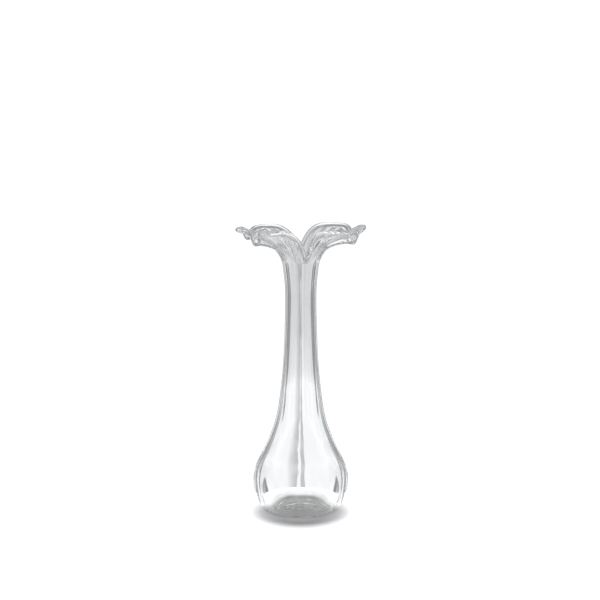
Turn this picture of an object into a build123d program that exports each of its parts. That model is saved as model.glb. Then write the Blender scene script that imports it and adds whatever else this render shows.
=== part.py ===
"""Hand-blown glass bud vase: a six-lobed pear-shaped bulb on a flat heel, a long drawn neck and a flared rim
of six ruffled petals. The real vase is one piece of glass. Each zone the glassmaker works is a solid of its
own here, and neighbouring zones meet face to face on flat seams.

Millimetres, +Z up. The origin is the middle of the foot, on the surface the vase stands on. The front of the
vase faces -Y, and one petal points along +X.
"""

import os
from math import cos, hypot, radians, sin

from build123d import *

# Heights of the flat seams between the zones
HEEL_TOP = 3.6
BULB_TOP = 84.0
NECK_TOP = 160.0
THROAT_TOP = 174.0

# Lobes left by the optic mould: crests at 0, 60, 120 ... degrees, and valleys this share of the radius deep
LOBES = 6
FOOT_LOBE = 0.060
BULB_LOBE = 0.035
NECK_LOBE = 0.025
INNER_LOBE_GAIN = 1.15
VALLEY_ROUNDING = 0.25
OUTLINE_POINTS = 48

# Outer outline of each zone as (height, crest radius), and the wall that stays inside it
HEEL_OUTLINE = [(0.0, 23.6), (1.2, 25.7), (2.4, 27.0), (HEEL_TOP, 28.0)]
BULB_OUTLINE = [
    (HEEL_TOP, 28.0),
    (7.0, 29.9),
    (12.0, 31.7),
    (22.0, 33.2),
    (32.0, 31.3),
    (43.0, 25.9),
    (53.0, 21.5),
    (63.0, 17.9),
    (73.0, 15.7),
    (BULB_TOP, 14.2),
]
NECK_OUTLINE = [(BULB_TOP, 14.2), (105.0, 12.3), (130.0, 11.1), (147.0, 10.7), (NECK_TOP, 11.1)]
THROAT_OUTLINE = [(NECK_TOP, 11.1), (167.0, 11.8), (171.0, 12.3), (THROAT_TOP, 12.9)]
FLOOR_WALL = 5.2
BULB_WALL = 4.4
NECK_WALL = 2.5
WALL_BLEND_TOP = 20.0

# Push-up under the heel, and the curl of glass that the pontil rod left in it
PUSH_UP_RADIUS = 17.0
PUSH_UP_HEIGHT = 1.2
PUSH_UP_SPHERE = (PUSH_UP_RADIUS**2 + PUSH_UP_HEIGHT**2) / (2 * PUSH_UP_HEIGHT)
CURL_RADIUS = 2.6
CURL_WIDTH = 1.3
CURL_START = 200.0
CURL_SWEEP = 250.0
CURL_LOW_END = 0.5

# Rim: the middle of the petals' thickness runs from the throat to the rounded lip
LIP_RADIUS = 1.65
ROOT_ANGLE = 74.0
LIP_LIFT = 18.0
ROOT_PULL = 0.34
LIP_PULL = 0.39

# Valleys between petals as (direction in degrees, reach, height of the lip)
FRONT_RIGHT_FOLD = (329.0, 42.8, 191.8)
BACK_RIGHT_FOLD = (388.0, 42.4, 190.6)
BACK_NOTCH = (450.0, 18.0, 185.3)
BACK_LEFT_FOLD = (512.0, 43.4, 190.6)
FRONT_LEFT_FOLD = (575.0, 38.8, 190.4)
FRONT_NOTCH = (646.0, 15.2, 179.8)

# Each petal's lip from valley to valley, counterclockwise seen from above
PETALS = {
    "petal_right": [
        FRONT_RIGHT_FOLD,
        (333.0, 43.4, 195.8),
        (339.0, 44.0, 198.2),
        (360.0, 44.6, 199.8),
        (372.0, 44.5, 199.0),
        (381.0, 43.8, 196.4),
        BACK_RIGHT_FOLD,
    ],
    "petal_back_right": [
        BACK_RIGHT_FOLD,
        (393.0, 42.8, 194.6),
        (401.0, 43.4, 198.2),
        (413.0, 42.4, 198.6),
        (424.0, 39.0, 198.6),
        (433.0, 30.0, 196.2),
        BACK_NOTCH,
    ],
    "petal_back_left": [
        BACK_NOTCH,
        (458.0, 21.0, 188.2),
        (466.0, 27.0, 192.4),
        (475.0, 35.5, 196.8),
        (486.0, 41.8, 197.6),
        (500.0, 43.0, 197.0),
        (507.0, 43.4, 194.4),
        BACK_LEFT_FOLD,
    ],
    "petal_left": [
        BACK_LEFT_FOLD,
        (518.0, 44.0, 195.2),
        (526.0, 44.3, 197.6),
        (540.0, 44.6, 198.0),
        (556.0, 43.8, 198.2),
        (567.0, 41.4, 197.4),
        (571.5, 39.8, 195.0),
        FRONT_LEFT_FOLD,
    ],
    "petal_front_left": [
        FRONT_LEFT_FOLD,
        (581.0, 40.6, 195.4),
        (588.0, 42.0, 198.2),
        (601.0, 40.4, 198.6),
        (613.0, 34.2, 198.2),
        (622.0, 26.6, 193.8),
        (636.0, 17.8, 184.2),
        FRONT_NOTCH,
    ],
    "petal_front_right": [
        FRONT_NOTCH,
        (650.0, 18.4, 183.8),
        (652.5, 23.0, 190.8),
        (658.0, 31.0, 197.2),
        (670.0, 41.0, 198.6),
        (681.0, 42.4, 196.4),
        (689.0, 42.8, 191.8),
    ],
}


def wall_at(height):
    """Wall thickness at a crest: thick beside the floor, thinning up the bulb to the drawn neck."""
    if height < WALL_BLEND_TOP:
        share = (WALL_BLEND_TOP - height) / (WALL_BLEND_TOP - HEEL_TOP)
        return BULB_WALL + (FLOOR_WALL - BULB_WALL) * share**2
    share = min(1.0, (height - WALL_BLEND_TOP) / (BULB_TOP - WALL_BLEND_TOP))
    return BULB_WALL + (NECK_WALL - BULB_WALL) * share


def lobe_at(height):
    """Depth of the outer lobes as a share of the radius: strongest at the foot, faint in the neck."""
    if height < WALL_BLEND_TOP:
        return FOOT_LOBE + (BULB_LOBE - FOOT_LOBE) * height / WALL_BLEND_TOP
    share = min(1.0, (height - WALL_BLEND_TOP) / (BULB_TOP - WALL_BLEND_TOP))
    return BULB_LOBE + (NECK_LOBE - BULB_LOBE) * share


def lobed(crest_radius, lobe, angle):
    """Radius of a lobed outline in one direction: round crests, and tighter valleys between them."""
    swing = hypot(cos(radians(LOBES * angle / 2)), VALLEY_ROUNDING) / hypot(1, VALLEY_ROUNDING)
    return crest_radius * (1 - lobe * (1 - swing))


def lobed_points(crest_radius, lobe):
    """Points round one lobed outline, starting on the +X crest."""
    turns = [360.0 * i / OUTLINE_POINTS for i in range(OUTLINE_POINTS)]
    radii = [lobed(crest_radius, lobe, turn) for turn in turns]
    return [(r * cos(radians(a)), r * sin(radians(a))) for r, a in zip(radii, turns)]


def lobed_solid(outline, inside=False):
    """A lobed solid through (height, crest radius) stations: the zone's outside, or the hollow in it."""
    with BuildPart() as solid:
        for height, radius in outline:
            lobe = lobe_at(height)
            if inside:
                radius -= wall_at(height)
                lobe *= INNER_LOBE_GAIN
            with BuildSketch(Plane.XY.offset(height)):
                with BuildLine():
                    Spline(*lobed_points(radius, lobe), periodic=True)
                make_face()
        loft()
    return solid.part


def polar(origin, length, angle):
    return (origin[0] + length * cos(radians(angle)), origin[1] + length * sin(radians(angle)))


def petal_section(direction, reach, height):
    """One radial slice through a petal, from the flat seam on the throat out to the round lip."""
    outer = lobed(THROAT_OUTLINE[-1][1], NECK_LOBE, direction)
    inner = lobed(THROAT_OUTLINE[-1][1] - NECK_WALL, NECK_LOBE * INNER_LOBE_GAIN, direction)
    lip = (reach - LIP_RADIUS, height - LIP_RADIUS)
    root = ((outer + inner) / 2, THROAT_TOP)
    chord = Vector(lip[0] - root[0], lip[1] - root[1])
    lip_angle = 2 * Vector(1, 0).get_signed_angle(chord) - ROOT_ANGLE + LIP_LIFT
    lip_angle = max(-8.0, min(ROOT_ANGLE, lip_angle))
    length = hypot(chord.X, chord.Y)

    under_lip = polar(lip, LIP_RADIUS, lip_angle - 90)
    upper_lip = polar(lip, LIP_RADIUS, lip_angle + 90)
    lip_end = polar(lip, LIP_RADIUS, lip_angle)
    under_pull = polar((outer, THROAT_TOP), ROOT_PULL * length, ROOT_ANGLE)
    upper_pull = polar((inner, THROAT_TOP), ROOT_PULL * length, ROOT_ANGLE)
    under_back = polar(under_lip, -LIP_PULL * length, lip_angle)
    upper_back = polar(upper_lip, -LIP_PULL * length, lip_angle)

    turn = radians(direction)
    radial = Plane(origin=(0, 0, 0), x_dir=(cos(turn), sin(turn), 0), z_dir=(sin(turn), -cos(turn), 0))
    with BuildSketch(radial) as section:
        with BuildLine():
            Bezier((outer, THROAT_TOP), under_pull, under_back, under_lip)
            ThreePointArc(under_lip, lip_end, upper_lip)
            Bezier(upper_lip, upper_back, upper_pull, (inner, THROAT_TOP))
            Line((inner, THROAT_TOP), (outer, THROAT_TOP))
        make_face()
    return section.sketch


os.makedirs("parts", exist_ok=True)

# Heel: the solid disc at the bottom, with a shallow push-up under it
with BuildPart() as heel:
    add(lobed_solid(HEEL_OUTLINE))
    with Locations((0, 0, PUSH_UP_HEIGHT - PUSH_UP_SPHERE)):
        Sphere(PUSH_UP_SPHERE, mode=Mode.SUBTRACT)

heel.part.label = "heel"
export_step(heel.part, "parts/heel.step")

# Pontil mark: a curl of glass standing in the push-up, clear of the surface under the foot
with BuildPart() as pontil_mark:
    with BuildSketch(Plane.XY.offset(CURL_LOW_END)):
        SlotArc(CenterArc((0, 0), CURL_RADIUS, CURL_START, CURL_SWEEP), CURL_WIDTH)
    extrude(amount=PUSH_UP_HEIGHT)
    add(heel.part, mode=Mode.SUBTRACT)

pontil_mark.part.label = "pontil_mark"
export_step(pontil_mark.part, "parts/pontil_mark.step")

# Bulb, neck and throat: hollow lobed zones, one above the other
with BuildPart() as bulb:
    add(lobed_solid(BULB_OUTLINE))
    add(lobed_solid(BULB_OUTLINE, inside=True), mode=Mode.SUBTRACT)

bulb.part.label = "bulb"
export_step(bulb.part, "parts/bulb.step")

with BuildPart() as neck:
    add(lobed_solid(NECK_OUTLINE))
    add(lobed_solid(NECK_OUTLINE, inside=True), mode=Mode.SUBTRACT)

neck.part.label = "neck"
export_step(neck.part, "parts/neck.step")

with BuildPart() as throat:
    add(lobed_solid(THROAT_OUTLINE))
    add(lobed_solid(THROAT_OUTLINE, inside=True), mode=Mode.SUBTRACT)

throat.part.label = "throat"
export_step(throat.part, "parts/throat.step")

# Petals: each is lofted round the axis through its radial slices, from valley to valley
for name, slices in PETALS.items():
    sections = [petal_section(*lip_point) for lip_point in slices]
    with BuildPart() as petal:
        loft(sections=sections)

    petal.part.label = name
    export_step(petal.part, f"parts/{name}.step")
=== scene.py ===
"""Hand-blown glass bud vase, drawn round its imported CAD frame.

The vase's glass is worked out once, as one closed skin: up the outside from the push-up under the heel,
over the round lip of the petals, and down the inside to the floor of the bulb. Each zone of the frame then
takes its own stretch of that skin and is closed by joint faces, so the pieces meet at the same edges and
share one set of normals. Sizes are in millimetres until a mesh is made, and the frame's boxes give the
joints' heights and the zones' widths.
"""

import math

import bpy
import numpy as np
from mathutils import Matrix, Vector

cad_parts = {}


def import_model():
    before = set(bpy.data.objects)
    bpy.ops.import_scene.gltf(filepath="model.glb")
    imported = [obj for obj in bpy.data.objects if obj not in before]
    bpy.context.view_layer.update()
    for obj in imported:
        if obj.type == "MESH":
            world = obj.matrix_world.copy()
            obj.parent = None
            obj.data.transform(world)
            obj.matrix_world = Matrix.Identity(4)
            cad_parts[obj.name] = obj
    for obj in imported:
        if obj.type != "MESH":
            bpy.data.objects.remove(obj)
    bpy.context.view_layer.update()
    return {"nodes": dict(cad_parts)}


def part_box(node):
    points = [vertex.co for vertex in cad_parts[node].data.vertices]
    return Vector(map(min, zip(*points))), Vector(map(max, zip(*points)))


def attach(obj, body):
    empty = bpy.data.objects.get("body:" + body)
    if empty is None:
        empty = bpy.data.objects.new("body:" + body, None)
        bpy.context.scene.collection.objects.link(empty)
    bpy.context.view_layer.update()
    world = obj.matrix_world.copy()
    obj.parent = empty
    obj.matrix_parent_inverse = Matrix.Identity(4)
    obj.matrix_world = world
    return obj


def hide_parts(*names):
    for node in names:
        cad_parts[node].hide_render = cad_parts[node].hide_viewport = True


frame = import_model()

MM = 0.001


# ---------------------------------------------------------------- sizes from the frame
def high(node, axis):
    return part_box(node)[1][axis] / MM


HEEL_TOP = high("heel", 2)
BULB_TOP = high("bulb", 2)
NECK_TOP = high("neck", 2)
THROAT_TOP = high("throat", 2)
BULB_RADIUS = high("bulb", 0)
HEEL_RADIUS = high("heel", 0)
BULB_TOP_RADIUS = high("neck", 0)
THROAT_RADIUS = high("throat", 0)

# Ripples on the floor of the bulb, as (direction in radians, length), within a reach from the middle
RIPPLES = [(0.4, 8.3), (1.3, 12.1), (2.2, 7.1), (2.9, 15.7)]
RIPPLE_HEIGHT = 0.05
RIPPLE_REACH = 23.0
RIPPLE_FADE = 6.0

# Petals: half their thickness at the throat, and the way they leave it, into which its outlines run on
ROOT_HALF = 1.25
ROOT_ANGLE = math.radians(74)
ROOT_RISE = 3.0
ROOT_RUN = ROOT_RISE / math.tan(ROOT_ANGLE)

# Outer outline as (crest radius, height), from the middle of the push-up to the top of the throat
UNDERSIDE = [(0.0, 1.2), (6.0, 1.05), (12.0, 0.55), (16.5, 0.08), (18.5, 0.0), (21.0, 0.0)]
SIDE = [
    (23.6, 0.3),
    (25.9, 1.4),
    (27.1, 2.5),
    (HEEL_RADIUS, HEEL_TOP),
    (29.9, 7.0),
    (31.7, 12.0),
    (BULB_RADIUS, 22.0),
    (31.3, 32.0),
    (25.9, 43.0),
    (21.5, 53.0),
    (17.9, 63.0),
    (15.7, 73.0),
    (BULB_TOP_RADIUS, BULB_TOP),
    (12.3, 105.0),
    (11.1, 130.0),
    (10.7, 147.0),
    (11.1, NECK_TOP),
    (11.8, 167.0),
    (12.3, 171.0),
    (THROAT_RADIUS, THROAT_TOP),
    (THROAT_RADIUS + ROOT_RUN, THROAT_TOP + ROOT_RISE),
]
# Inner outline, from the top of the throat to the middle of the floor
INSIDE = [
    (THROAT_RADIUS - 2 * ROOT_HALF + ROOT_RUN, THROAT_TOP + ROOT_RISE),
    (THROAT_RADIUS - 2 * ROOT_HALF, THROAT_TOP),
    (9.8, 171.0),
    (9.3, 167.0),
    (8.6, NECK_TOP),
    (8.2, 147.0),
    (8.6, 130.0),
    (9.8, 105.0),
    (11.7, BULB_TOP),
    (12.9, 73.0),
    (14.8, 63.0),
    (18.1, 53.0),
    (22.2, 43.0),
    (27.2, 32.0),
    (28.9, 22.0),
    (27.4, 12.0),
    (26.2, 7.2),
    (24.2, HEEL_TOP),
    (21.2, 2.7),
    (14.0, 2.7),
    (7.0, 3.0),
    (0.0, 3.2),
]

# Lobes from the optic mould, as in the frame
LOBES = 6
FOOT_LOBE = 0.060
BULB_LOBE = 0.035
NECK_LOBE = 0.025
LOBE_BLEND_TOP = 20.0
INNER_LOBE_GAIN = 1.15
VALLEY_ROUNDING = 0.25

# Petals: the round lip, half their thickness away from it, and how far back from it they begin to swell
LIP_RADIUS = 1.65
PETAL_HALF = 1.12
LIP_SWELL = 5.0
FLUTES = 30
FLUTE_DEPTH = 0.1
# Shares of a petal's length over which it thins from the throat's wall and takes on its own shape
THINNING = 0.5
ROOT_BLEND = 0.3
# Bend of a petal from root to lip: how its lip leans, and how strongly each end holds its direction
LIP_LIFT = math.radians(18)
LOWEST_LEAN = math.radians(-8)
ROOT_PULL = 0.34
LIP_PULL = 0.39

# Lip round the rim as (valley's name, direction in degrees, reach, height): petals meet in the named valleys
RIM = [
    ("fold", 329.0, 42.8, 191.8),
    ("", 333.0, 43.4, 195.8),
    ("", 339.0, 44.0, 198.2),
    ("", 360.0, 44.6, 199.8),
    ("", 372.0, 44.5, 199.0),
    ("", 381.0, 43.8, 196.4),
    ("fold", 388.0, 42.4, 190.6),
    ("", 393.0, 42.8, 194.6),
    ("", 401.0, 43.4, 198.2),
    ("", 413.0, 42.4, 198.6),
    ("", 424.0, 39.0, 198.6),
    ("", 433.0, 30.0, 196.2),
    ("notch", 450.0, 18.0, 185.3),
    ("", 458.0, 21.0, 188.2),
    ("", 466.0, 27.0, 192.4),
    ("", 475.0, 35.5, 196.8),
    ("", 486.0, 41.8, 197.6),
    ("", 500.0, 43.0, 197.0),
    ("", 507.0, 43.4, 194.4),
    ("fold", 512.0, 43.4, 190.6),
    ("", 518.0, 44.0, 195.2),
    ("", 526.0, 44.3, 197.6),
    ("", 540.0, 44.6, 198.0),
    ("", 556.0, 43.8, 198.2),
    ("", 567.0, 41.4, 197.4),
    ("", 571.5, 39.8, 195.0),
    ("fold", 575.0, 38.8, 190.4),
    ("", 581.0, 40.6, 195.4),
    ("", 588.0, 42.0, 198.2),
    ("", 601.0, 40.4, 198.6),
    ("", 613.0, 34.2, 198.2),
    ("", 622.0, 26.6, 193.8),
    ("", 636.0, 17.8, 184.2),
    ("notch", 646.0, 15.2, 179.8),
    ("", 650.0, 18.4, 183.8),
    ("", 652.5, 23.0, 190.8),
    ("", 658.0, 31.0, 197.2),
    ("", 670.0, 41.0, 198.6),
    ("", 681.0, 42.4, 196.4),
]
PETAL_NODES = [
    "petal_right",
    "petal_back_right",
    "petal_back_left",
    "petal_left",
    "petal_front_left",
    "petal_front_right",
]

# Mesh density: the columns crowd by this share towards the valleys
OUTLINE_POINTS = 4001
VALLEY_CROWDING = 0.5
PETAL_COLUMNS = 96
BODY_STEP = 1.0
PETAL_ROWS = 34
BEAD_ROWS = 14

# How far each joint face is dished into its piece in the middle, so that no two faces lie in one plane
JOINT_DISH = 0.05

# Glass: its colour and bending, and slow waves drawn out along the height, with their height in metres
GLASS_COLOUR = (0.985, 0.99, 0.983, 1)
GLASS_IOR = 1.5
WAVE_STRETCH = (1, 1, 0.35)
WAVE_SCALE = 90.0
WAVE_DETAIL = 2.0
WAVE_STRENGTH = 0.15
WAVE_HEIGHT = 0.0004


# ---------------------------------------------------------------- curves
def cubic(xs, ys, at):
    """Natural cubic spline through (xs, ys), read at the points in at."""
    xs, ys = np.asarray(xs, float), np.asarray(ys, float)
    n = len(xs)
    step = np.diff(xs)
    matrix, right = np.eye(n), np.zeros(n)
    for i in range(1, n - 1):
        matrix[i, i - 1 : i + 2] = step[i - 1], 2 * (step[i - 1] + step[i]), step[i]
        right[i] = 6 * ((ys[i + 1] - ys[i]) / step[i] - (ys[i] - ys[i - 1]) / step[i - 1])
    bend = np.linalg.solve(matrix, right)
    i = np.clip(np.searchsorted(xs, at) - 1, 0, n - 2)
    a, b, h = xs[i + 1] - at, at - xs[i], step[i]
    return (
        (bend[i] * a**3 + bend[i + 1] * b**3) / (6 * h)
        + (ys[i] / h - bend[i] * h / 6) * a
        + (ys[i + 1] / h - bend[i + 1] * h / 6) * b
    )


def outline(points):
    """A smooth, finely divided (radius, height) line through points."""
    points = np.array(points, float)
    along = np.concatenate([[0], np.cumsum(np.hypot(*np.diff(points, axis=0).T))])
    fine = np.linspace(0, along[-1], OUTLINE_POINTS)
    return np.stack([cubic(along, points[:, 0], fine), cubic(along, points[:, 1], fine)], axis=1)


def cut(line, start, end, step):
    """Rows evenly spaced along line between two of its indices."""
    part = line[start : end + 1]
    along = np.concatenate([[0], np.cumsum(np.hypot(*np.diff(part, axis=0).T))])
    rows = max(2, int(math.ceil(along[-1] / step)) + 1)
    at = np.linspace(0, along[-1], rows)
    return np.stack([np.interp(at, along, part[:, 0]), np.interp(at, along, part[:, 1])], axis=1)


def index_at(line, height):
    return int(np.argmin(np.abs(line[:, 1] - height)))


def ease(x):
    x = np.clip(x, 0, 1)
    return x * x * (3 - 2 * x)


# ---------------------------------------------------------------- lobes
def lobe_depth(height):
    low = FOOT_LOBE + (BULB_LOBE - FOOT_LOBE) * ease(height / LOBE_BLEND_TOP)
    share = np.clip((height - LOBE_BLEND_TOP) / (BULB_TOP - LOBE_BLEND_TOP), 0, 1)
    return np.where(height < LOBE_BLEND_TOP, low, BULB_LOBE + (NECK_LOBE - BULB_LOBE) * share)


def lobe_factor(depth, turn):
    """Share of the crest radius that a lobed outline reaches in direction turn."""
    swing = np.hypot(np.cos(LOBES * turn / 2), VALLEY_ROUNDING) / math.hypot(1, VALLEY_ROUNDING)
    return 1 - depth * (1 - swing)


def rippled(row):
    """Chill ripples on the floor of the bulb, which fade out towards the wall."""
    x, y = row[:, 0], row[:, 1]
    fade = ease((RIPPLE_REACH - np.hypot(x, y)) / RIPPLE_FADE)
    wave = 0
    for angle, length in RIPPLES:
        wave = wave + np.sin((x * math.cos(angle) + y * math.sin(angle)) * 2 * math.pi / length + angle)
    return row + np.stack([0 * x, 0 * x, RIPPLE_HEIGHT * fade * wave], axis=1)


# ---------------------------------------------------------------- the skin
def directions():
    """Column directions in radians, crowding towards the valleys, and the columns where petals meet."""
    valleys = [r[1] for r in RIM if r[0]]
    valleys.append(valleys[0] + 360)
    turns, seams = [], []
    share = np.arange(PETAL_COLUMNS) / PETAL_COLUMNS
    share = (1 - VALLEY_CROWDING) * share + VALLEY_CROWDING * (1 - np.cos(np.pi * share)) / 2
    for a, b in zip(valleys, valleys[1:]):
        seams.append(len(turns))
        turns.extend(a + (b - a) * share)
    return np.radians(turns), seams


def lip_line(turn):
    """Reach and height of the lip in each direction."""
    at = np.degrees(turn)
    angle = np.array([r[1] for r in RIM])
    laps = np.concatenate([angle - 360, angle, angle + 360])
    reach = cubic(laps, [r[2] for r in RIM] * 3, at)
    height = cubic(laps, [r[3] for r in RIM] * 3, at)
    return reach, height


def petal_mid(turn):
    """(radius, height) rows of the petals' middle surface, from root to lip, and half the root's thickness."""
    outer = THROAT_RADIUS * lobe_factor(NECK_LOBE, turn)
    inner = (THROAT_RADIUS - 2 * ROOT_HALF) * lobe_factor(NECK_LOBE * INNER_LOBE_GAIN, turn)
    reach, height = lip_line(turn)
    root = np.stack([(outer + inner) / 2, np.full_like(outer, THROAT_TOP)], axis=1)
    lip = np.stack([reach - LIP_RADIUS, height - LIP_RADIUS], axis=1)
    chord = lip - root
    length = np.hypot(chord[:, 0], chord[:, 1])
    lean = 2 * np.arctan2(chord[:, 1], chord[:, 0]) - ROOT_ANGLE + LIP_LIFT
    lean = np.clip(lean, LOWEST_LEAN, ROOT_ANGLE)
    pull = root + ROOT_PULL * length[:, None] * np.array([math.cos(ROOT_ANGLE), math.sin(ROOT_ANGLE)])
    back = lip - LIP_PULL * length[:, None] * np.stack([np.cos(lean), np.sin(lean)], axis=1)
    t = np.linspace(0, 1, PETAL_ROWS)[:, None, None]
    flat = (1 - t) ** 3 * root + 3 * (1 - t) ** 2 * t * pull + 3 * (1 - t) * t**2 * back + t**3 * lip
    return flat, (outer - inner) / 2


def in_space(flat, turn):
    """(radius, height) rows turned to their directions about the axis."""
    return np.stack([flat[..., 0] * np.cos(turn), flat[..., 0] * np.sin(turn), flat[..., 1]], axis=-1)


def unit(v):
    return v / np.maximum(np.linalg.norm(v, axis=-1, keepdims=True), 1e-12)


def petal_rows(turn):
    """Rows of the skin on the petals: out along their undersides, round the lip and back to the throat."""
    flat, root_half = petal_mid(turn)
    mid = in_space(flat, turn)
    round_way = unit(np.roll(mid, -1, axis=1) - np.roll(mid, 1, axis=1))
    out_way = unit(np.gradient(mid, axis=0))
    down = unit(np.cross(round_way, out_way))
    radial = np.stack([np.cos(turn), np.sin(turn), np.zeros_like(turn)], axis=-1)

    steps = np.linalg.norm(np.diff(mid, axis=0), axis=-1)
    from_lip = np.concatenate([np.cumsum(steps[::-1], axis=0)[::-1], np.zeros((1, len(turn)))])
    share = np.linspace(0, 1, PETAL_ROWS)[:, None]
    half = root_half + (PETAL_HALF - root_half) * ease(share / THINNING)
    half = half + FLUTE_DEPTH * ease(share / ROOT_BLEND) * np.sin(FLUTES * turn)
    half = half + (LIP_RADIUS - half) * ease(1 - from_lip / LIP_SWELL)
    blend = ease(share / ROOT_BLEND)[..., None]
    side = unit(radial * (1 - blend) + down * blend)
    side[0] = radial
    under = mid + side * half[..., None]
    upper = mid - side * half[..., None]

    tip = unit(np.cross(side[-1], round_way[-1]))
    bead = []
    for step in range(1, BEAD_ROWS):
        a = math.pi * step / BEAD_ROWS
        bead.append(mid[-1] + LIP_RADIUS * (math.cos(a) * side[-1] + math.sin(a) * tip))
    return under, np.array(bead), upper[::-1]


def skin():
    """The whole closed skin as rows of columns, each zone's first and last rows, and the petals' seams."""
    turn, seams = directions()
    outside = outline(UNDERSIDE + SIDE)
    outside[:, 1] = np.maximum(outside[:, 1], 0)
    inside = outline(INSIDE)
    levels = [HEEL_TOP, BULB_TOP, NECK_TOP, THROAT_TOP]
    up = [0] + [index_at(outside, z) for z in levels]
    down = [index_at(inside, z) for z in levels[::-1]] + [len(inside) - 1]

    rows, marks = [], {}

    def lobed_rows(part, gain):
        spread = lobe_factor(gain * lobe_depth(part[:, 1])[:, None], turn[None, :])
        heights = np.broadcast_to(part[:, 1][:, None], spread.shape)
        flat = np.stack([part[:, 0][:, None] * spread, heights], -1)
        return list(in_space(flat, turn))

    for i, name in enumerate(["heel", "bulb", "neck", "throat"]):
        part = cut(outside, up[i], up[i + 1], BODY_STEP)
        part[-1, 1] = levels[i]
        start = max(len(rows) - 1, 0)
        rows.extend(lobed_rows(part, 1.0)[1 if rows else 0 :])
        marks[name, "out"] = (start, len(rows) - 1)
    under, bead, upper = petal_rows(turn)
    start = len(rows) - 1
    rows.extend(under[1:])
    rows.extend(bead)
    rows.extend(upper)
    marks["petal", "out"] = (start, len(rows) - 1)
    for i, name in enumerate(["throat", "neck", "bulb", "heel"]):
        part = cut(inside, down[i], down[i + 1], BODY_STEP)
        part[0, 1] = levels[::-1][i]
        start = len(rows) - 1
        inner = lobed_rows(part, INNER_LOBE_GAIN)[1:]
        if name == "heel":
            inner = [rippled(row) for row in inner]
        rows.extend(inner)
        marks[name, "in"] = (start, len(rows) - 1)
    return np.array(rows), marks, seams


def skin_normals(grid):
    """Smooth outward normals at every point of the skin."""
    rows, columns = grid.shape[:2]
    right = np.roll(grid, -1, axis=1)
    face = np.cross(right[1:] - grid[:-1], grid[1:] - right[:-1])
    normals = np.zeros_like(grid)
    normals[:-1] += face
    normals[1:] += face
    normals[:-1] += np.roll(face, 1, axis=1)
    normals[1:] += np.roll(face, 1, axis=1)
    normals[0] = (0, 0, -1)
    normals[-1] = (0, 0, 1)
    return unit(normals)


# ---------------------------------------------------------------- materials
def clear_glass():
    """Fire-polished soda glass, with slow waves from the blowing."""
    mat = bpy.data.materials.new("vase_glass")
    mat.use_nodes = True
    tree = mat.node_tree
    shader = tree.nodes["Principled BSDF"]
    shader.inputs["Base Color"].default_value = GLASS_COLOUR
    shader.inputs["Transmission Weight"].default_value = 1.0
    shader.inputs["IOR"].default_value = GLASS_IOR
    shader.inputs["Roughness"].default_value = 0.0
    place = tree.nodes.new("ShaderNodeTexCoord")
    stretch = tree.nodes.new("ShaderNodeMapping")
    stretch.inputs["Scale"].default_value = WAVE_STRETCH
    tree.links.new(place.outputs["Object"], stretch.inputs["Vector"])
    waves = tree.nodes.new("ShaderNodeTexNoise")
    waves.inputs["Scale"].default_value = WAVE_SCALE
    waves.inputs["Detail"].default_value = WAVE_DETAIL
    tree.links.new(stretch.outputs["Vector"], waves.inputs["Vector"])
    bump = tree.nodes.new("ShaderNodeBump")
    bump.inputs["Strength"].default_value = WAVE_STRENGTH
    bump.inputs["Distance"].default_value = WAVE_HEIGHT
    tree.links.new(waves.outputs["Fac"], bump.inputs["Height"])
    tree.links.new(bump.outputs["Normal"], shader.inputs["Normal"])
    return mat


def fused_glass():
    """Where two zones are one glass: light crosses it without bending."""
    mat = bpy.data.materials.new("fused_glass")
    mat.use_nodes = True
    shader = mat.node_tree.nodes["Principled BSDF"]
    shader.inputs["Base Color"].default_value = (1, 1, 1, 1)
    shader.inputs["Transmission Weight"].default_value = 1.0
    shader.inputs["IOR"].default_value = 1.0
    shader.inputs["Roughness"].default_value = 0.0
    return mat


GLASS = clear_glass()
FUSED = fused_glass()


# ---------------------------------------------------------------- pieces
def make_piece(name, points, walls, wall_normals, joints):
    """A closed mesh from wall faces, which carry the skin's normals, and joint faces with their own."""
    mesh = bpy.data.meshes.new(name)
    mesh.from_pydata((points * MM).tolist(), [], [list(f) for f in walls + joints])
    mesh.materials.append(GLASS)
    mesh.materials.append(FUSED)
    is_joint = np.zeros(len(mesh.polygons), bool)
    is_joint[len(walls) :] = True
    mesh.polygons.foreach_set("material_index", is_joint.astype(np.int32))
    mesh.polygons.foreach_set("use_smooth", ~is_joint)
    corner = np.zeros(len(mesh.loops), np.int32)
    mesh.loops.foreach_get("vertex_index", corner)
    normals = wall_normals[corner]
    flat = np.zeros(len(mesh.polygons) * 3)
    mesh.polygons.foreach_get("normal", flat)
    flat = flat.reshape(-1, 3)
    first_joint = mesh.polygons[len(walls)].loop_start
    normals[first_joint:] = np.repeat(flat[len(walls) :], [len(f) for f in joints], axis=0)
    mesh.update()
    mesh.normals_split_custom_set(normals.tolist())
    obj = bpy.data.objects.new(name, mesh)
    bpy.context.scene.collection.objects.link(obj)
    return obj


def without_repeats(ring):
    """A face whose corners may coincide, with each corner once."""
    return [k for i, k in enumerate(ring) if k != ring[i - 1]]


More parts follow.
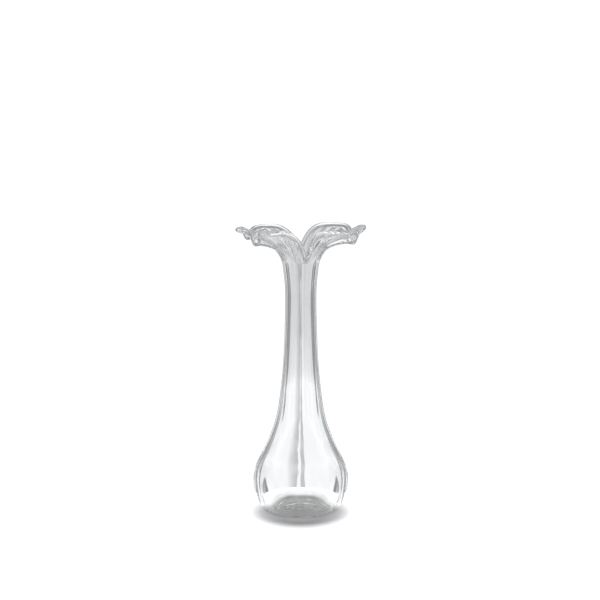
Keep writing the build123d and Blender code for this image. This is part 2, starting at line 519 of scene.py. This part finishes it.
def zone_piece(name, grid, normals, stretches, columns):
    """A piece from the skin between rows in stretches and the given columns, closed by joint faces."""
    total = grid.shape[1]
    pole_rows = {0, grid.shape[0] - 1}

    def key(row, column):
        return (row, 0) if row in pole_rows else (row, column % total)

    walls = []
    for low, top in stretches:
        for row in range(low, top):
            for a, b in zip(columns, columns[1:]):
                walls.append(without_repeats([key(row, a), key(row, b), key(row + 1, b), key(row + 1, a)]))

    middles = {}

    def middle(row_a, row_b, column, shift):
        """A joint's point midway between two rows of the skin, dished into the piece."""
        a, b = key(row_a, column), key(row_b, column)
        middles[a, b] = (grid[a] + grid[b]) / 2 + JOINT_DISH * np.array(shift)
        return (a, b)

    def ring_joint(outer_row, inner_row, rise, ends):
        """Level joint between outside and inside: rise is -1 at a piece's top and 1 at its bottom."""
        for a, b in zip(columns, columns[1:]):
            shifts = [np.array([0, 0, rise]) + ends.get(c, 0) for c in (a, b)]
            mid_a, mid_b = [middle(outer_row, inner_row, c, s) for c, s in zip((a, b), shifts)]
            for face in (
                [key(outer_row, a), key(outer_row, b), mid_b, mid_a],
                [mid_a, mid_b, key(inner_row, b), key(inner_row, a)],
            ):
                joints.append(face if rise < 0 else face[::-1])

    def side_joint(low, top, column, inward, far):
        """Upright joint through a petal's thickness, from its root to its lip."""
        half = (top - low) // 2
        for step in range(half):
            up = np.array([0, 0, 1]) if step == 0 else 0
            here = middle(low + step, top - step, column, inward + up)
            if step + 1 < half:
                there = middle(low + step + 1, top - step - 1, column, inward)
            else:
                there = key(low + half, column)
            for face in (
                [key(low + step, column), key(low + step + 1, column), there, here],
                [here, there, key(top - step - 1, column), key(top - step, column)],
            ):
                face = without_repeats(face)
                joints.append(face[::-1] if far else face)

    joints = []
    if len(stretches) == 2:
        outer, inner = stretches
        if outer[0] != 0:
            ring_joint(outer[0], inner[1], 1, {})
        ring_joint(outer[1], inner[0], -1, {})
    else:
        low, top = stretches[0]
        ends = {}
        for column, side in ((columns[0], 1), (columns[-1], -1)):
            x, y, _ = unit(grid[key(low, column)] * np.array([1, 1, 0]))
            ends[column] = side * np.array([-y, x, 0])
        ring_joint(low, top, 1, ends)
        side_joint(low, top, columns[0], ends[columns[0]], False)
        side_joint(low, top, columns[-1], ends[columns[-1]], True)

    index = {}
    for face in walls + joints:
        for k in face:
            index.setdefault(k, len(index))
    points = np.array([middles[k] if k in middles else grid[k] for k in index])
    at = np.array([np.zeros(3) if k in middles else normals[k] for k in index])
    walls = [[index[k] for k in face] for face in walls]
    joints = [[index[k] for k in face] for face in joints]
    return make_piece(name, points, walls, at, joints)


grid, marks, seams = skin()
normals = skin_normals(grid)
total = grid.shape[1]
all_round = list(range(total + 1))

pieces = []
for zone in ["heel", "bulb", "neck", "throat"]:
    stretches = [marks[zone, "out"], marks[zone, "in"]]
    pieces.append((zone, zone_piece("glass_" + zone, grid, normals, stretches, all_round)))
for i, zone in enumerate(PETAL_NODES):
    end = seams[i + 1] if i + 1 < len(seams) else total
    columns = list(range(seams[i], end + 1))
    pieces.append((zone, zone_piece("glass_" + zone, grid, normals, [marks["petal", "out"]], columns)))
for zone, piece in pieces:
    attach(piece, "root")
    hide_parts(zone)
frame["nodes"]["pontil_mark"].material_slots[0].material = GLASS


# ---------------------------------------------------------------- floor, light and camera
FLOOR_RADIUS = 0.052
FLOOR_SIDES = 96
FLOOR_COLOUR = (0.9, 0.9, 0.9, 1)
FLOOR_ROUGHNESS = 0.9
# Painted pool of light under the foot: the floor glows there, standing in for light come down through the
# glass
PAINTED_LIGHT_POOL = 0.3
PAINTED_LIGHT_POOL_EDGE = (0.024, 0.036)
# Painted light on the floor's edge: it glows so that the edge melts into the backdrop, sooner at the sides,
# and trims the shadow
PAINTED_EDGE_LIGHT = 0.5
PAINTED_EDGE_START = (0.034, 0.050)
PAINTED_EDGE_SQUASH = (1.25, 1.0, 1.0)

# White backdrop, the room's own light on the floor, and a broad soft lamp over and behind the vase
ROOM_COLOUR = (0.965, 0.973, 1, 1)
BACKDROP_LIGHT = 1.1
ROOM_LIGHT = 0.35
LAMP_LIGHT = 3.3
LAMP_DIRECTION = (0.0, 0.6, 0.8)
LAMP_EDGE = (0.55, 0.98)

# The studio that shows in the glass: brightness by height as (sine of the elevation, level)
STUDIO_LEVELS = [
    (-1.0, 1.12),
    (-0.2, 1.1),
    (-0.19, 0.97),
    (-0.165, 0.75),
    (-0.14, 0.73),
    (-0.11, 0.71),
    (0.0, 0.55),
    (0.4, 0.4),
    (1.0, 0.32),
]
# Its tall light panels, wide and narrow by turns, with their edges in radians from a panel's middle, and the
# level of the gaps between them, below and above a blend by height
LIGHT_PANELS = 8
PANEL_EDGE = (0.22, 0.31)
WIDE_AND_NARROW = 0.15
LOW_GAP_LEVEL = 0.18
HIGH_GAP_LEVEL = 0.36
GAP_BLEND = (-0.25, -0.19)
PANEL_TOP = (0.05, 0.3)
# A dim bar down each panel: sharp on one side, fading on the other, and ending at the floor
BAR_SHARP_SIDE = (-0.004, 0.002)
BAR_SOFT_SIDE = (0.002, 0.06)
BAR_LEVEL = 0.55
BAR_FOOT = (-0.31, -0.27)

# Camera in metres and degrees below the horizon, with its lens in millimetres
CAMERA_PLACE = (0, -0.9, 0.275)
CAMERA_TILT = 8.04
LENS = 79.4
SENSOR_WIDTH = 36.0
SIDE_SHIFT = -0.0013

# Enough bounces for light that runs along inside the walls
BOUNCES = 64
TRANSPARENT_BOUNCES = 32


def maths(tree, operation, *values):
    made = tree.nodes.new("ShaderNodeMath")
    made.operation = operation
    for i, value in enumerate(values):
        if isinstance(value, bpy.types.NodeSocket):
            tree.links.new(value, made.inputs[i])
        else:
            made.inputs[i].default_value = value
    return made.outputs[0]


def vector_maths(tree, operation, vector, other=None):
    made = tree.nodes.new("ShaderNodeVectorMath")
    made.operation = operation
    tree.links.new(vector, made.inputs[0])
    if other:
        made.inputs[1].default_value = other
    return made.outputs


def smooth_step(tree, value, start_end, low_high):
    made = tree.nodes.new("ShaderNodeMapRange")
    made.interpolation_type = "SMOOTHSTEP"
    tree.links.new(value, made.inputs["Value"])
    made.inputs["From Min"].default_value, made.inputs["From Max"].default_value = start_end
    made.inputs["To Min"].default_value, made.inputs["To Max"].default_value = low_high
    return made.outputs["Result"]


def floor():
    """A pale disc under the vase, with painted light: a glowing pool under the foot and a glowing edge."""
    turn = [2 * math.pi * i / FLOOR_SIDES for i in range(FLOOR_SIDES)]
    mesh = bpy.data.meshes.new("floor")
    mesh.from_pydata(
        [(FLOOR_RADIUS * math.cos(a), FLOOR_RADIUS * math.sin(a), 0) for a in turn],
        [],
        [tuple(range(FLOOR_SIDES))],
    )
    obj = bpy.data.objects.new("floor", mesh)
    bpy.context.scene.collection.objects.link(obj)
    mat = bpy.data.materials.new("pale_floor")
    mat.use_nodes = True
    tree = mat.node_tree
    shader = tree.nodes["Principled BSDF"]
    shader.inputs["Base Color"].default_value = FLOOR_COLOUR
    shader.inputs["Roughness"].default_value = FLOOR_ROUGHNESS
    shader.inputs["Specular IOR Level"].default_value = 0.0
    shader.inputs["Emission Color"].default_value = (1, 1, 1, 1)
    place = tree.nodes.new("ShaderNodeTexCoord")
    radius = vector_maths(tree, "LENGTH", place.outputs["Object"])["Value"]
    # Painted pool of light: the floor glows under the foot, fading out past it
    painted_pool = smooth_step(tree, radius, PAINTED_LIGHT_POOL_EDGE, (PAINTED_LIGHT_POOL, 0.0))
    # Painted light on the floor's rim: it glows up towards the backdrop's white, sooner at the sides
    squashed = vector_maths(tree, "MULTIPLY", place.outputs["Object"], PAINTED_EDGE_SQUASH)["Vector"]
    reach = vector_maths(tree, "LENGTH", squashed)["Value"]
    painted_edge = smooth_step(tree, reach, PAINTED_EDGE_START, (0.0, PAINTED_EDGE_LIGHT))
    tree.links.new(maths(tree, "ADD", painted_pool, painted_edge), shader.inputs["Emission Strength"])
    mesh.materials.append(mat)


def world():
    """A white room with a lamp. Glass shows it as a studio ringed with tall light panels, grey overhead."""
    made = bpy.data.worlds.new("studio")
    bpy.context.scene.world = made
    made.use_nodes = True
    tree = made.node_tree
    place = tree.nodes.new("ShaderNodeTexCoord")
    axes = tree.nodes.new("ShaderNodeSeparateXYZ")
    tree.links.new(place.outputs["Generated"], axes.inputs[0])
    height = axes.outputs["Z"]

    levels = tree.nodes.new("ShaderNodeValToRGB")
    tree.links.new(maths(tree, "MULTIPLY_ADD", height, 0.5, 0.5), levels.inputs["Fac"])
    stops = levels.color_ramp.elements
    while len(stops) < len(STUDIO_LEVELS):
        stops.new(0.5)
    for stop, (sine, level) in zip(stops, STUDIO_LEVELS):
        stop.position = 0.5 * sine + 0.5
        stop.color = (level, level, level, 1)

    turn = maths(tree, "ARCTAN2", axes.outputs["Y"], axes.outputs["X"])
    half_panel = math.pi / LIGHT_PANELS
    across = maths(tree, "WRAP", turn, half_panel, -half_panel)
    wave = maths(tree, "COSINE", maths(tree, "MULTIPLY", turn, LIGHT_PANELS / 2))
    from_middle = maths(tree, "ABSOLUTE", across)
    from_panel = maths(tree, "SUBTRACT", from_middle, maths(tree, "MULTIPLY", wave, WIDE_AND_NARROW))
    depth = smooth_step(tree, height, GAP_BLEND, (1.0 - LOW_GAP_LEVEL, 1.0 - HIGH_GAP_LEVEL))
    gap = maths(tree, "MULTIPLY", smooth_step(tree, from_panel, PANEL_EDGE, (0.0, 1.0)), depth)
    low = smooth_step(tree, height, PANEL_TOP, (1.0, 0.0))
    panel = maths(tree, "SUBTRACT", 1.0, maths(tree, "MULTIPLY", gap, low))
    sharp_side = smooth_step(tree, across, BAR_SHARP_SIDE, (0.0, 1.0 - BAR_LEVEL))
    soft_side = smooth_step(tree, across, BAR_SOFT_SIDE, (1.0 - BAR_LEVEL, 0.0))
    bar = maths(tree, "MINIMUM", sharp_side, soft_side)
    foot = smooth_step(tree, height, BAR_FOOT, (0.0, 1.0))
    dimmed = maths(tree, "SUBTRACT", 1.0, maths(tree, "MULTIPLY", bar, foot))
    lit = maths(tree, "MULTIPLY", panel, dimmed)
    studio = maths(tree, "MULTIPLY", levels.outputs["Color"], lit)

    toward_lamp = vector_maths(tree, "DOT_PRODUCT", place.outputs["Generated"], LAMP_DIRECTION)["Value"]
    lamp = smooth_step(tree, toward_lamp, LAMP_EDGE, (ROOM_LIGHT, LAMP_LIGHT))
    path = tree.nodes.new("ShaderNodeLightPath")
    backdrop = maths(tree, "MULTIPLY", path.outputs["Is Camera Ray"], BACKDROP_LIGHT)
    in_glass = maths(tree, "MAXIMUM", path.outputs["Is Glossy Ray"], path.outputs["Is Transmission Ray"])
    room = tree.nodes.new("ShaderNodeMix")
    tree.links.new(in_glass, room.inputs["Factor"])
    tree.links.new(maths(tree, "MAXIMUM", lamp, backdrop), room.inputs["A"])
    tree.links.new(studio, room.inputs["B"])
    back = tree.nodes["Background"]
    back.inputs["Color"].default_value = ROOM_COLOUR
    tree.links.new(room.outputs["Result"], back.inputs["Strength"])


def camera():
    data = bpy.data.cameras.new("camera")
    obj = bpy.data.objects.new("camera", data)
    bpy.context.scene.collection.objects.link(obj)
    obj.location = CAMERA_PLACE
    obj.rotation_euler = (math.radians(90 - CAMERA_TILT), 0, 0)
    data.lens = LENS
    data.sensor_width = SENSOR_WIDTH
    data.shift_x = SIDE_SHIFT
    bpy.context.scene.camera = obj


floor()
world()
camera()

scene = bpy.context.scene
scene.view_settings.view_transform = "Standard"
scene.cycles.max_bounces = BOUNCES
scene.cycles.glossy_bounces = BOUNCES
scene.cycles.transmission_bounces = BOUNCES
scene.cycles.transparent_max_bounces = TRANSPARENT_BOUNCES
scene.cycles.caustics_refractive = False
scene.cycles.caustics_reflective = False
scene.cycles.use_denoising = True
